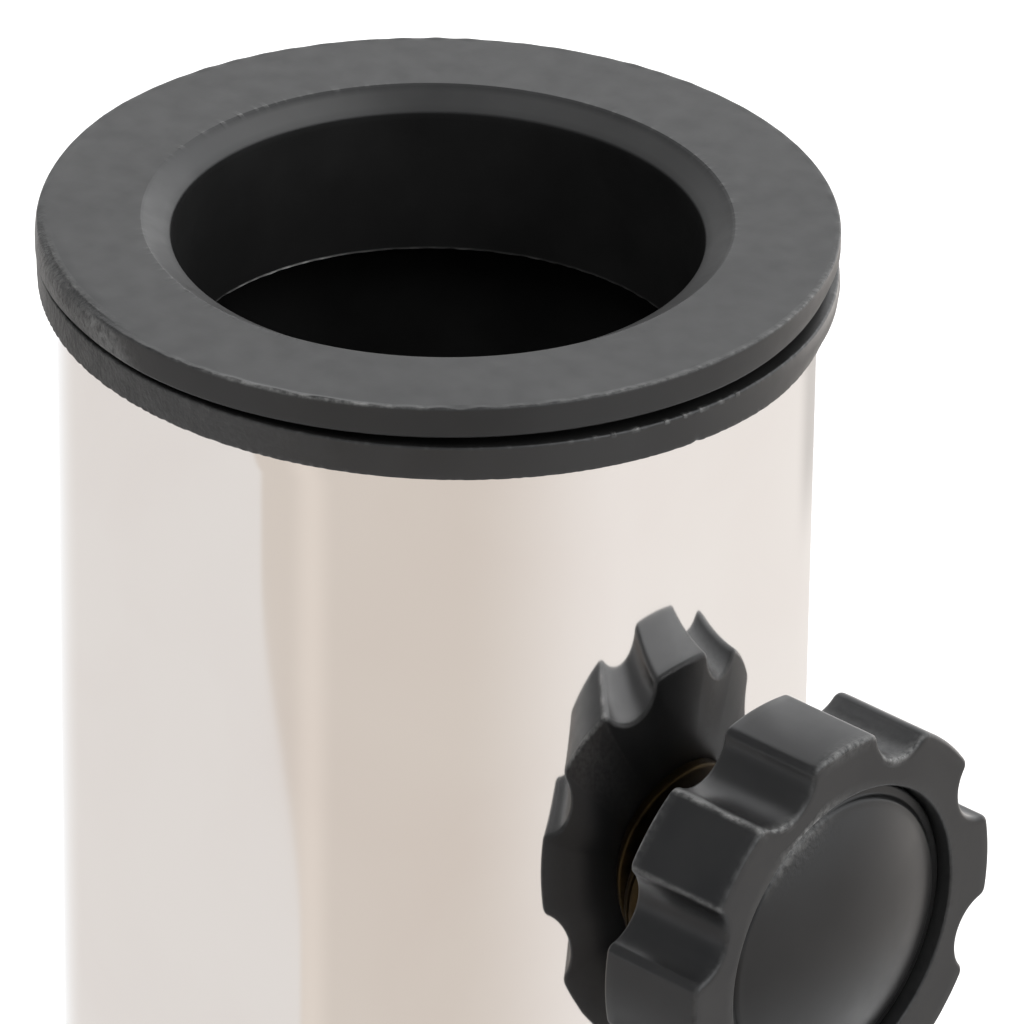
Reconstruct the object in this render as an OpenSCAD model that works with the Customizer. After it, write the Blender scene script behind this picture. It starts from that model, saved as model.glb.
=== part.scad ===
// Parasol base: granite slab, polished tube with two nested pole reducers, and a side clamp knob.
// Origin: centre of the footprint at floor level. +Z is up and the clamp knob points to +X.

/* [Tube] */
// Height of the whole stand, from the floor to the face of the inner reducer
total_h = 400; // [340:5:500]
// Outside diameter of the tube
tube_d = 57; // [57:0.1:57.2]
// Wall of the tube
tube_wall = 1; // [0.9:0.1:1]

/* [Outer reducer] */
// Diameter of the outer reducer's flange
outer_flange_d = 60; // [59:0.2:62]
// Thickness of the outer reducer's flange
outer_flange_t = 3.2; // [2.5:0.1:4]
// Bore of the outer reducer, for a 48 mm pole
outer_bore_d = 49; // [48.6:0.1:49.4]
// Depth of the outer reducer's sleeve inside the tube
outer_sleeve_l = 30; // [20:1:30]

/* [Inner reducer] */
// Diameter of the inner reducer's flange
inner_flange_d = 60.2; // [59:0.2:62]
// Thickness of the inner reducer's flange
inner_flange_t = 2.5; // [2:0.1:3.5]
// Height of the inner reducer from its face to the end of its sleeve
inner_h = 13.2; // [10:0.2:20]
// Bore of the inner reducer, for a 38 mm pole
inner_bore_d = 39.7; // [38.4:0.1:40.4]
// Radial width of the chamfer at the mouth
mouth_chamfer_w = 2.2; // [1:0.1:3]
// Depth of the chamfer at the mouth
mouth_chamfer_h = 1.3; // [0.5:0.1:2]
// Gap between the two flanges
flange_gap = 0.4; // [0.3:0.1:1]

/* [Clamp] */
// Depth of the clamp axis below the top of the stand
clamp_drop = 45.7; // [44:0.1:60]
// Distance from the tube's axis to the face of the knob
knob_face_x = 41.7; // [41.5:0.1:44]
// Diameter of the knob over its lobes
knob_d = 33.6; // [31:0.2:36]
// Thickness of the knob
knob_t = 9; // [8.8:0.1:9.2]
// Number of lobes on the knob
lobes = 8; // [6:1:10]
// Turn of the first lobe from the horizontal, in degrees
knob_phase = 1; // [0:1:45]
// Radius of the cutter that makes a flute
flute_r = 3.2; // [2.5:0.1:4]
// Distance from the knob's axis to the middle of a flute
flute_pitch_r = 17.7; // [16.5:0.1:18]
// Diameter of the recess for the cap
cap_recess_d = 24.6; // [20:0.1:25]
// Thread diameter of the clamp screw
screw_d = 8; // [8:1:8]
// Length of the clamp screw under its head
screw_l = 16; // [15:1:16]
// Diameter of the clamp nut's saddle flange
nut_flange_d = 16.4; // [15:0.2:24]

/* [Slab] */
// Side of the square slab
slab_w = 400; // [350:10:500]
// Thickness of the slab
slab_t = 60; // [50:5:80]
// Radius of the slab's upright corners
slab_corner_r = 25; // [15:5:60]
// Chamfer round the slab's top and bottom edges
slab_chamfer = 2.5; // [1:0.5:5]
// Distance from the middle to each foot along both sides
foot_offset = 160; // [120:5:160]

/* [Foot of the tube] */
// Diameter of the steel plate under the tube
plate_d = 120; // [112:1:124]
// Thickness of the steel plate
plate_t = 5; // [4:0.5:6]
// Diameter of the circle of bolts
bolt_circle_d = 92; // [88:1:96]
// Number of bolts
bolt_n = 4; // [3:1:6]
// Diameter of the cover rosette
cover_d = 150; // [146:1:180]
// Height of the cover's dome, without its neck
cover_dome_h = 22; // [21:1:30]
// Height of the cover's neck
cover_neck_h = 8; // [6:1:12]

/* [Hidden] */
$fn = 96;
cut = 1;            // how far a cutter runs past the face that it opens

// Feet, with a screw and a dowel each
foot_h = 5;
foot_r = 20;
foot_edge = 1;
foot_recess_r = 6;
foot_recess_h = 3;
foot_screw_r = 2.2;
foot_screw_l = 24;
foot_head_r = 4.6;
foot_head_h = 2.4;
dowel_r = 4;
dowel_l = 28;
hole_slack = 0.1;   // radial slack of a set-in or bonded piece
screw_slack = 0.05; // radial slack of a screw in its thread

// Levels, counted up from the floor
slab_top = foot_h + slab_t;
gasket_t = 2;
plate_z = slab_top + gasket_t;
plate_top = plate_z + plate_t;
reducer_seat = total_h - inner_flange_t - flange_gap - outer_flange_t;
clamp_z = total_h - clamp_drop;

// Tube
tube_r = tube_d / 2;
bore_r = tube_r - tube_wall;
sleeve_slack = 0.1;
nest_slack = 0.15;
weld_leg = 4;
rest_h = 8;
drain_r = 5;

// M8 bolts that hold the plate to the slab
m8_r = 4;
m8_head_af = 13;
m8_head_h = 5.3;
m8_l = 30;
m8_hole_r = 4.5;
flat_washer_r = 8;
flat_washer_t = 1.6;
lock_washer_r = 6.6;
lock_washer_t = 2;
anchor_r = 6;
anchor_l = 40;
anchor_bore_l = 36;
bolt_head_z = plate_top + flat_washer_t + lock_washer_t;

// Clamp
knob_back_x = knob_face_x - knob_t;
cap_recess_h = 2.2;
cap_seat_x = knob_face_x - cap_recess_h;
cap_slack = 0.15;
cap_brim_h = 1.05;
cap_dome_r = cap_recess_d / 2 - 1;
cap_shoulder = 0.45;
cap_crown = 2;
crown_steps = 8;
low_head_h = 3.2;
low_head_x = cap_seat_x - low_head_h - 0.2;
clamp_washer_t = 1.2;
clamp_washer_x = knob_back_x - 0.05 - clamp_washer_t;
nut_saddle_t = 1.2;
nut_pilot_r = 5.5;
nut_inner_x = 25;

// Cover
cover_wall = 1;
cover_lift = 0.3;   // play between the cover and the slab
cover_z = slab_top + cover_lift;
ring_bore_r = tube_r + 0.1;
ring_t = 2;
neck_r = ring_bore_r + ring_t;
cover_steps = 24;

// Points of a hexagon's circle for a width across flats
function hex_r(af) = af / (2 * cos(30));

// Puts a piece drawn along +Z on the clamp axis, pointing away from the tube
module on_clamp_axis(x) {
  translate([x, 0, clamp_z]) rotate([90, 0, 90]) children();
}

module at_bolts(z) {
  for (i = [0 : bolt_n - 1])
    rotate([0, 0, 45 + i * 360 / bolt_n])
      translate([bolt_circle_d / 2, 0, z]) children();
}

module at_feet(z) {
  for (sx = [-1, 1], sy = [-1, 1])
    translate([sx * foot_offset, sy * foot_offset, z]) children();
}

module ring(outer_r, inner_r, h) {
  difference() {
    cylinder(r = outer_r, h = h);
    translate([0, 0, -cut]) cylinder(r = inner_r, h = h + 2 * cut);
  }
}

// One straight band of the slab: its chamfered cross-section, drawn out along X
module slab_band() {
  x0 = slab_w / 2 - slab_corner_r;
  side = slab_w / 2;
  flat = side - slab_chamfer;
  translate([-x0, 0, foot_h]) rotate([90, 0, 90])
    linear_extrude(2 * x0)
      polygon([
        [-flat, 0], [flat, 0], [side, slab_chamfer], [side, slab_t - slab_chamfer],
        [flat, slab_t], [-flat, slab_t], [-side, slab_t - slab_chamfer], [-side, slab_chamfer]
      ]);
}

module slab_corner() {
  flat = slab_corner_r - slab_chamfer;
  rotate_extrude()
    polygon([
      [0, 0], [flat, 0], [slab_corner_r, slab_chamfer],
      [slab_corner_r, slab_t - slab_chamfer], [flat, slab_t], [0, slab_t]
    ]);
}

module slab() {
  corner = slab_w / 2 - slab_corner_r;
  color("dimgray") difference() {
    union() {
      slab_band();
      rotate([0, 0, 90]) slab_band();
      for (sx = [-1, 1], sy = [-1, 1])
        translate([sx * corner, sy * corner, foot_h]) slab_corner();
    }
    at_bolts(slab_top - anchor_l - hole_slack)
      cylinder(r = anchor_r + hole_slack, h = anchor_l + hole_slack + cut);
    at_feet(foot_h - cut) cylinder(r = dowel_r + hole_slack, h = dowel_l + hole_slack + cut);
  }
}

module feet() {
  color([0.12, 0.12, 0.12]) at_feet(0) difference() {
    rotate_extrude()
      polygon([
        [0, 0], [foot_r - foot_edge, 0], [foot_r, foot_edge], [foot_r, foot_h], [0, foot_h]
      ]);
    translate([0, 0, -cut]) cylinder(r = foot_recess_r, h = foot_recess_h + cut);
    cylinder(r = foot_screw_r + hole_slack, h = foot_h + cut);
  }
}

module foot_screws() {
  color("silver") at_feet(foot_recess_h) {
    translate([0, 0, -foot_head_h]) cylinder(r = foot_head_r, h = foot_head_h);
    cylinder(r = foot_screw_r, h = foot_screw_l);
  }
}

module foot_dowels() {
  color("gainsboro") at_feet(foot_h) ring(dowel_r, foot_screw_r + screw_slack, dowel_l);
}

module stone_anchors() {
  color("silver") at_bolts(slab_top - anchor_l) difference() {
    cylinder(r = anchor_r, h = anchor_l);
    translate([0, 0, anchor_l - anchor_bore_l])
      cylinder(r = m8_r + screw_slack, h = anchor_bore_l + cut);
  }
}

module flange_gasket() {
  color([0.15, 0.15, 0.15]) difference() {
    translate([0, 0, slab_top]) cylinder(r = plate_d / 2 + 1, h = gasket_t);
    at_bolts(slab_top - cut) cylinder(r = m8_hole_r, h = gasket_t + 2 * cut);
  }
}

module foot_flange() {
  color("gray") difference() {
    translate([0, 0, plate_z]) cylinder(r = plate_d / 2, h = plate_t);
    translate([0, 0, plate_z - cut]) cylinder(r = drain_r, h = plate_t + 2 * cut);
    at_bolts(plate_z - cut) cylinder(r = m8_hole_r, h = plate_t + 2 * cut);
  }
}

module flange_bolts() {
  color("silver") at_bolts(bolt_head_z) {
    cylinder(r = hex_r(m8_head_af), h = m8_head_h, $fn = 6);
    translate([0, 0, -m8_l]) cylinder(r = m8_r, h = m8_l);
  }
}

module lock_washers() {
  slot_w = 1;
  color("silver") at_bolts(plate_top + flat_washer_t) difference() {
    ring(lock_washer_r, m8_r + hole_slack, lock_washer_t);
    translate([0, -slot_w / 2, -cut])
      cube([lock_washer_r + cut, slot_w, lock_washer_t + 2 * cut]);
  }
}

module flat_washers() {
  color("silver") at_bolts(plate_top) ring(flat_washer_r, m8_r + 2 * hole_slack, flat_washer_t);
}

module tube() {
  color("gainsboro") difference() {
    translate([0, 0, plate_top]) ring(tube_r, bore_r, reducer_seat - plate_top);
    on_clamp_axis(0) cylinder(r = nut_pilot_r + hole_slack, h = tube_d);
  }
}

module tube_weld() {
  color("darkgray") translate([0, 0, plate_top]) rotate_extrude()
    polygon([[tube_r, 0], [tube_r + weld_leg, 0], [tube_r, weld_leg]]);
}

// Disc in the foot of the tube, with a drain and four channels that lead to it
module pole_rest() {
  channel_w = 3;
  channel_h = 2;
  reach = bore_r - 4;
  color([0.15, 0.15, 0.15]) translate([0, 0, plate_top]) difference() {
    cylinder(r = bore_r - 2 * hole_slack, h = rest_h);
    translate([0, 0, -cut]) cylinder(r = drain_r, h = rest_h + 2 * cut);
    for (a = [0, 90])
      rotate([0, 0, a])
        translate([-reach, -channel_w / 2, rest_h - channel_h])
          cube([2 * reach, channel_w, channel_h + cut]);
  }
}

// Threaded bush with a flange that is curved to sit on the tube
module clamp_nut() {
  color("darkgoldenrod") difference() {
    union() {
      intersection() {
        on_clamp_axis(0) cylinder(r = nut_flange_d / 2, h = tube_d);
        translate([0, 0, clamp_z - nut_flange_d])
          ring(tube_r + nut_saddle_t, tube_r, 2 * nut_flange_d);
      }
      on_clamp_axis(nut_inner_x) cylinder(r = nut_pilot_r, h = tube_r + 1 - nut_inner_x);
    }
    on_clamp_axis(nut_inner_x - cut) cylinder(r = screw_d / 2 + screw_slack, h = tube_d);
  }
}

// Spun cover: a quarter-ellipse dome that rises from the rim to an upright neck
function cover_curve(rim_r, rise) = [
  for (i = [0 : cover_steps])
    let (a = 90 * i / cover_steps)
      [neck_r + (rim_r - neck_r) * cos(a), rise * sin(a)]
];

module cover_rosette() {
  rim_r = cover_d / 2;
  outside = cover_curve(rim_r, cover_dome_h);
  inside = cover_curve(rim_r - cover_wall, cover_dome_h - cover_wall);
  neck_top = cover_dome_h + cover_neck_h;
  color("gainsboro") translate([0, 0, cover_z]) rotate_extrude() union() {
    difference() {
      polygon(concat(outside, [[neck_r, 0]]));
      polygon(concat(inside, [[neck_r, 0]]));
    }
    translate([neck_r, cover_dome_h - cover_wall])
      square([cover_wall, cover_neck_h + cover_wall]);
  }
}

module rosette_ring() {
  color([0.12, 0.12, 0.12]) translate([0, 0, cover_z + cover_dome_h - cover_wall])
    ring(neck_r, ring_bore_r, cover_neck_h + cover_wall);
}

module outer_reducer() {
  sleeve_r = bore_r - sleeve_slack;
  color([0.2, 0.2, 0.2]) difference() {
    union() {
      translate([0, 0, reducer_seat]) cylinder(d = outer_flange_d, h = outer_flange_t);
      translate([0, 0, reducer_seat - outer_sleeve_l])
        cylinder(r = sleeve_r, h = outer_sleeve_l + cut);
    }
    translate([0, 0, reducer_seat - outer_sleeve_l - cut])
      cylinder(d = outer_bore_d, h = outer_sleeve_l + outer_flange_t + 2 * cut);
  }
}

module inner_reducer() {
  sleeve_r = outer_bore_d / 2 - nest_slack;
  bore = inner_bore_d / 2;
  color([0.25, 0.25, 0.25]) translate([0, 0, total_h]) rotate_extrude()
    polygon([
      [bore + mouth_chamfer_w, 0], [inner_flange_d / 2, 0],
      [inner_flange_d / 2, -inner_flange_t], [sleeve_r, -inner_flange_t],
      [sleeve_r, -inner_h], [bore, -inner_h], [bore, -mouth_chamfer_h]
    ]);
}

module clamp_washer() {
  color("darkgoldenrod") on_clamp_axis(clamp_washer_x)
    ring(flat_washer_r, screw_d / 2 + 0.2, clamp_washer_t);
}

module clamp_screw() {
  color("darkgoldenrod") {
    on_clamp_axis(low_head_x) cylinder(r = hex_r(m8_head_af), h = low_head_h, $fn = 6);
    on_clamp_axis(low_head_x - screw_l) cylinder(r = screw_d / 2, h = screw_l);
  }
}

module knob_outline() {
  difference() {
    circle(d = knob_d);
    for (i = [0 : lobes - 1])
      rotate([0, 0, knob_phase + (i + 0.5) * 360 / lobes])
        translate([flute_pitch_r, 0]) circle(r = flute_r);
  }
}

module knob_body() {
  color([0.22, 0.22, 0.22]) difference() {
    on_clamp_axis(knob_back_x) linear_extrude(knob_t) knob_outline();
    on_clamp_axis(cap_seat_x) cylinder(d = cap_recess_d, h = cap_recess_h + cut);
    on_clamp_axis(low_head_x)
      cylinder(r = hex_r(m8_head_af + 2 * hole_slack), h = cap_recess_h + low_head_h, $fn = 6);
    on_clamp_axis(knob_back_x - cut) cylinder(r = screw_d / 2 + hole_slack, h = knob_t);
  }
}

// Cap: a flat brim low in the recess, with a short sloped shoulder and a spherical crown inside it
module knob_cap() {
  cap_r = cap_recess_d / 2 - cap_slack;
  rim_r = cap_dome_r - cap_shoulder;
  crown_r = (rim_r * rim_r + cap_crown * cap_crown) / (2 * cap_crown);
  base = cap_brim_h + cap_shoulder + cap_crown - crown_r;
  crown = [
    for (i = [0 : crown_steps])
      let (r = rim_r * (1 - i / crown_steps)) [r, base + sqrt(crown_r * crown_r - r * r)]
  ];
  brim = [[0, 0], [cap_r, 0], [cap_r, cap_brim_h], [cap_dome_r, cap_brim_h]];
  color([0.18, 0.18, 0.18]) on_clamp_axis(cap_seat_x)
    rotate_extrude() polygon(concat(brim, crown));
}

slab();
feet();
foot_screws();
foot_dowels();
stone_anchors();
flange_gasket();
foot_flange();
flange_bolts();
lock_washers();
flat_washers();
tube();
tube_weld();
pole_rest();
clamp_nut();
cover_rosette();
rosette_ring();
outer_reducer();
inner_reducer();
clamp_washer();
clamp_screw();
knob_body();
knob_cap();
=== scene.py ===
"""Looks of a parasol base: granite slab, polished tube, two nested pole reducers and a clamp knob."""
import math

import bmesh
import bpy
import numpy as np
from mathutils import Matrix, Vector


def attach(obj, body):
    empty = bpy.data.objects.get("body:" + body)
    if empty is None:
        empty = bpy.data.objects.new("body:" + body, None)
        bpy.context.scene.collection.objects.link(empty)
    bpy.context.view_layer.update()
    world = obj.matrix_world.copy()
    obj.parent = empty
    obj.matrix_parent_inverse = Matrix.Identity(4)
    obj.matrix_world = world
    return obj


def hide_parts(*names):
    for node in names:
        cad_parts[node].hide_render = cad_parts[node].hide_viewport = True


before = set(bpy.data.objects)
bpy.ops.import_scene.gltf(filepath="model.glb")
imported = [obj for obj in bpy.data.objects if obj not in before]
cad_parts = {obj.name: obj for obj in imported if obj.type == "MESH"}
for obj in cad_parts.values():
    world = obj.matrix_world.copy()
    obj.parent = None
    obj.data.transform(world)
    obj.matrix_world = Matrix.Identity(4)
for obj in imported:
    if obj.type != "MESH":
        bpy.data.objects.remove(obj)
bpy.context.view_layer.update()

MM = 0.001
TAU = 2 * math.pi
RIGHT_AZIMUTH = math.radians(42.67)  # the camera's right; its own side is a quarter turn before this
CAMERA_SIDE = RIGHT_AZIMUTH - TAU / 4

# Sizes in mm, as in the CAD
TOP = 400.0
SLAB_TOP = 65.0
PLATE_TOP = 72.0
TUBE_R = 28.5
BORE_R = 27.5
SEAT = 393.9
CLAMP_Z = 354.3
BOLT_CIRCLE_R = 46.0
FOOT_OFFSET = 160.0
M8_PITCH = 1.25
M8_ACROSS = 13


# -------- numbers

def angles(steps):
    return np.arange(steps) * (TAU / steps)


def smooth(x, low, high):
    t = np.clip((x - low) / (high - low), 0, 1)
    return t * t * (3 - 2 * t)


def ripple(a, seed, low, high, waves=24):
    """Random closed curve round a circle, about -1 to 1, from waves with low to high periods a turn."""
    rng = np.random.default_rng(seed)
    total = np.zeros_like(a, dtype=float)
    for _ in range(waves):
        total += rng.uniform(0.5, 1) * np.sin(rng.integers(low, high + 1) * a + rng.uniform(0, TAU))
    return total / math.sqrt(waves) / 0.75


def beside(a, degrees, width):
    """1 at one angle and 0 from `width` degrees off it."""
    off = (a - math.radians(degrees) + math.pi) % TAU - math.pi
    return smooth(1 - np.abs(off) / math.radians(width), 0, 1)


def around(a, degrees, width):
    """1 at one azimuth, counted to the right from the camera's side, and 0 from `width` degrees off it."""
    return beside(a - CAMERA_SIDE, degrees, width)


def tilt(a, r, slopes):
    """Height of a plane that rises to the right and away from the camera by the two slopes."""
    return r * (slopes[0] * np.cos(a - RIGHT_AZIMUTH) + slopes[1] * np.sin(a - RIGHT_AZIMUTH))


# -------- mesh helpers

def rounded(corners, spacing=1.0, arc=5):
    """Closed outline through (x, y, radius) corners, with its points bunched at the ends of straight runs."""
    runs = []
    for i, (x, y, radius) in enumerate(corners):
        here = np.array((x, y), float)
        u = np.array(corners[i - 1][:2]) - here
        v = np.array(corners[(i + 1) % len(corners)][:2]) - here
        u, v = u / np.linalg.norm(u), v / np.linalg.norm(v)
        if radius <= 0:
            runs.append([here])
            continue
        half = math.acos(np.clip(u @ v, -1, 1)) / 2
        centre = here + (u + v) / np.linalg.norm(u + v) * radius / math.sin(half)
        start = here + u * radius / math.tan(half) - centre
        end = here + v * radius / math.tan(half) - centre
        first = math.atan2(start[1], start[0])
        turn = (math.atan2(end[1], end[0]) - first + math.pi) % TAU - math.pi
        steps = first + turn * np.arange(arc + 1) / arc
        runs.append([centre + radius * np.array((math.cos(t), math.sin(t))) for t in steps])
    outline = []
    for i, run in enumerate(runs):
        outline += run
        nxt = runs[(i + 1) % len(runs)][0]
        count = math.ceil(np.linalg.norm(nxt - run[-1]) / spacing)
        for k in range(1, count):
            outline.append(run[-1] + (nxt - run[-1]) * (1 - math.cos(math.pi * k / count)) / 2)
    return outline


def grid_faces(rows, columns, wrap_rows):
    i = np.arange(rows if wrap_rows else rows - 1)[:, None]
    j = np.arange(columns)[None, :]
    below, after = (i + 1) % rows, (j + 1) % columns
    quads = [i * columns + j, below * columns + j, below * columns + after, i * columns + after]
    return np.stack(quads, -1).reshape(-1, 4).tolist()


def end_faces(total, count):
    """The first and the last `count` points of a shape, each as one face."""
    return [list(range(count)), list(range(total - count, total))]


def turned(rings, steps, closed=True):
    """Points and faces of rings round Z. A ring is (radius, height), each one number or a value per step."""
    a = angles(steps)
    r = np.array([np.broadcast_to(ring[0], steps) for ring in rings], float)
    z = np.array([np.broadcast_to(ring[1], steps) for ring in rings], float)
    points = np.stack([r * np.cos(a), r * np.sin(a), z], -1).reshape(-1, 3)
    return points, grid_faces(len(rings), steps, closed)


def moved(shape, turn=0.0, offset=(0, 0, 0)):
    c, s = math.cos(turn), math.sin(turn)
    x, y, z = shape[0].T
    return np.stack([c * x - s * y + offset[0], s * x + c * y + offset[1], z + offset[2]], -1), shape[1]


def at_bolts(shape, z):
    spots = [math.radians(45 + 90 * k) for k in range(4)]
    return [moved(shape, t, (BOLT_CIRCLE_R * math.cos(t), BOLT_CIRCLE_R * math.sin(t), z)) for t in spots]


def at_feet(shape, z):
    spots = [(sx * FOOT_OFFSET, sy * FOOT_OFFSET) for sx in (-1, 1) for sy in (-1, 1)]
    return [moved(shape, k * 0.4, (x, y, z)) for k, (x, y) in enumerate(spots)]


def on_clamp_axis(shape, x):
    """A shape drawn along +Z is laid along +X, on the clamp's axis."""
    across, up, along = shape[0].T
    return np.stack([x + along, across, CLAMP_Z + up], -1), shape[1]


def mesh_of(name, shapes, sharp=32):
    points, faces, start = [], [], 0
    for shape_points, shape_faces in shapes:
        points += (np.asarray(shape_points) * MM).tolist()
        faces += [[v + start for v in face] for face in shape_faces]
        start += len(shape_points)
    mesh = bpy.data.meshes.new(name)
    mesh.from_pydata(points, [], faces)
    bm = bmesh.new()
    bm.from_mesh(mesh)
    bmesh.ops.remove_doubles(bm, verts=bm.verts, dist=1e-8)
    bmesh.ops.recalc_face_normals(bm, faces=bm.faces)
    bm.to_mesh(mesh)
    bm.free()
    finish_mesh(mesh, sharp)
    return mesh


def finish_mesh(mesh, sharp):
    mesh.shade_smooth()
    mesh.set_sharp_from_angle(angle=math.radians(sharp))


def linked(name, data):
    obj = bpy.data.objects.new(name, data)
    bpy.context.scene.collection.objects.link(obj)
    return obj


def carve(obj, shapes, sharp=32):
    """Cuts closed shapes out of a mesh."""
    cutter = linked("cutter", mesh_of("cutter", shapes))
    cut = obj.modifiers.new("cut", "BOOLEAN")
    cut.operation = "DIFFERENCE"
    cut.solver = "EXACT"
    cut.object = cutter
    bpy.context.view_layer.update()
    result = bpy.data.meshes.new_from_object(obj.evaluated_get(bpy.context.evaluated_depsgraph_get()))
    obj.modifiers.clear()
    obj.data = result
    bpy.data.objects.remove(cutter)
    finish_mesh(result, sharp)


def bevel(obj, width, segments=3, degrees=35):
    edge = obj.modifiers.new("edges", "BEVEL")
    edge.width = width * MM
    edge.segments = segments
    edge.limit_method = "ANGLE"
    edge.angle_limit = math.radians(degrees)
    edge.harden_normals = True


def place(obj, body, node, material):
    obj.data.materials.clear()
    obj.data.materials.append(material)
    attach(obj, body)
    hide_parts(node)
    return obj


def piece(node, shapes, body, material, sharp=32, masks=None):
    """A mesh that stands for one CAD node. masks(x, y, z) gives its material's point values, 0 to 1."""
    obj = linked(node + "_fine", mesh_of(node, shapes, sharp))
    if masks:
        co = np.empty(len(obj.data.vertices) * 3)
        obj.data.vertices.foreach_get("co", co)
        for name, values in masks(*(co.reshape(-1, 3).T / MM)).items():
            layer = obj.data.attributes.new(name, "FLOAT", "POINT")
            layer.data.foreach_set("value", np.clip(values, 0, 1).astype(np.float32))
    return place(obj, body, node, material)


def plug(r, low, high, steps=48):
    """A plain closed cylinder, used only to cut holes."""
    return turned([(0, low), (r, low), (r, high), (0, high)], steps, closed=False)


def bar(half_x, half_y, low, high):
    """A plain closed box on the Z axis, used only to cut slots."""
    sides = ((-1, -1), (1, -1), (1, 1), (-1, 1))
    corners = [(sx * half_x, sy * half_y, z) for z in (low, high) for sx, sy in sides]
    faces = [[0, 1, 2, 3], [4, 5, 6, 7], [0, 1, 5, 4], [1, 2, 6, 5], [2, 3, 7, 6], [3, 0, 4, 7]]
    return np.array(corners, float), faces


# -------- material helpers

class Finish:
    """A Principled material that is built up with procedural patterns in the part's own coordinates."""

    def __init__(self, name, color, roughness, metallic=0.0, **inputs):
        self.material = bpy.data.materials.new(name)
        self.material.use_nodes = True
        self.tree = self.material.node_tree
        self.shader = self.tree.nodes["Principled BSDF"]
        self.shader.inputs["Base Color"].default_value = (*color, 1)
        self.shader.inputs["Roughness"].default_value = roughness
        self.shader.inputs["Metallic"].default_value = metallic
        for key, value in inputs.items():
            self.shader.inputs[key.replace("_", " ")].default_value = value
        self.position = self.add("ShaderNodeTexCoord").outputs["Object"]
        self.normal = None

    def add(self, kind, **settings):
        node = self.tree.nodes.new(kind)
        for key, value in settings.items():
            if hasattr(node, key):
                setattr(node, key, value)
            else:
                node.inputs[key.replace("_", " ")].default_value = value
        return node

    def join(self, output, node, name):
        self.tree.links.new(output, node.inputs[name])

    def scaled(self, stretch):
        mapping = self.add("ShaderNodeMapping", Scale=stretch)
        self.join(self.position, mapping, "Vector")
        return mapping.outputs["Vector"]

    def noise(self, per_mm, detail=4.0, stretch=(1, 1, 1), distortion=0.0, rough=0.5):
        pattern = self.add(
            "ShaderNodeTexNoise", Scale=per_mm / MM, Detail=detail, Distortion=distortion, Roughness=rough)
        self.join(self.scaled(stretch), pattern, "Vector")
        return pattern.outputs["Fac"]

    def cells(self, per_mm, feature="F1", stretch=(1, 1, 1), output="Distance"):
        pattern = self.add("ShaderNodeTexVoronoi", feature=feature, Scale=per_mm / MM)
        self.join(self.scaled(stretch), pattern, "Vector")
        return pattern.outputs[output]

    def spread(self, fac, low, high, to_low=0.0, to_high=1.0):
        node = self.add("ShaderNodeMapRange", From_Min=low, From_Max=high, To_Min=to_low, To_Max=to_high)
        self.join(fac, node, "Value")
        return node.outputs["Result"]

    def ramp(self, fac, stops):
        node = self.add("ShaderNodeValToRGB")
        self.join(fac, node, "Fac")
        elements = node.color_ramp.elements
        while len(elements) < len(stops):
            elements.new(0.5)
        for element, (at, color) in zip(elements, stops):
            element.position = at
            element.color = (*color, 1)
        return node.outputs["Color"]

    def feed(self, value, socket):
        """Links an output to a socket, or sets the socket to a number or a colour."""
        if isinstance(value, bpy.types.NodeSocket):
            self.tree.links.new(value, socket)
        else:
            socket.default_value = (*value, 1) if isinstance(value, tuple) else value

    def mix(self, fac, a, b):
        node = self.add("ShaderNodeMix", data_type="RGBA")
        for value, index in ((fac, 0), (a, 6), (b, 7)):
            self.feed(value, node.inputs[index])
        return node.outputs[2]

    def math(self, operation, a, b):
        node = self.add("ShaderNodeMath", operation=operation)
        self.feed(a, node.inputs[0])
        self.feed(b, node.inputs[1])
        return node.outputs[0]

    def mask(self, name):
        return self.add("ShaderNodeAttribute", attribute_name=name).outputs["Fac"]

    def color(self, output):
        self.join(output, self.shader, "Base Color")

    def roughness(self, output):
        self.join(output, self.shader, "Roughness")

    def bump(self, height, depth_mm, strength=1.0):
        node = self.add("ShaderNodeBump", Strength=strength, Distance=depth_mm * MM)
        self.join(height, node, "Height")
        if self.normal:
            self.join(self.normal, node, "Normal")
        self.normal = node.outputs["Normal"]
        self.join(self.normal, self.shader, "Normal")


def black_plastic(name, dark, light, rough_low, rough_high, grain=0.004, ior=1.5, pale=0.17, bores=False):
    """Moulded black plastic: cloudy tone, fine grain, pale worn places, painted highlights on flash and
    chamfers (colour mixed toward white), pits and dull bores.
    """
    f = Finish(name, dark, rough_low, IOR=ior, Specular_Tint=(0.95, 0.97, 1.0, 1.0))
    tone = f.mix(f.spread(f.noise(0.12, 5.0), 0.35, 0.65), dark, light)
    rubbed = f.math("MULTIPLY", f.mask("wear"), f.spread(f.noise(1.9, 6.0, rough=0.68), 0.38, 0.6, 0.1, 1.0))
    worn = f.mix(rubbed, tone, (pale, pale, pale * 0.98))
    # Painted highlight: the colour is mixed toward near-white where this mask is set.
    f.color(f.mix(f.mask("painted_highlight"), worn, (0.95, 0.95, 0.94)))
    satin = f.spread(f.noise(0.5, 4.0), 0.3, 0.7, rough_low, rough_high)
    dull = f.math("ADD", f.math("MULTIPLY", rubbed, 0.2), f.math("MULTIPLY", f.mask("deep"), 0.25))
    f.roughness(f.math("SUBTRACT", f.math("ADD", satin, dull), f.math("MULTIPLY", f.mask("gloss"), 0.14)))
    if bores:
        f.join(f.spread(f.mask("deep"), 0.0, 1.0, 0.5, 0.13), f.shader, "Specular IOR Level")
    f.bump(f.noise(7.0, 2.0), grain)
    f.bump(f.noise(0.35, 2.0), 0.003)
    pits = f.math("SUBTRACT", f.noise(2.2, 5.0, rough=0.65), 0.5)
    f.bump(f.math("MULTIPLY", pits, f.mask("pitted")), 0.24)
    f.bump(f.math("MULTIPLY", f.noise(1.8, 5.0, rough=0.6), f.mask("wear")), 0.22)
    return f.material


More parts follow.
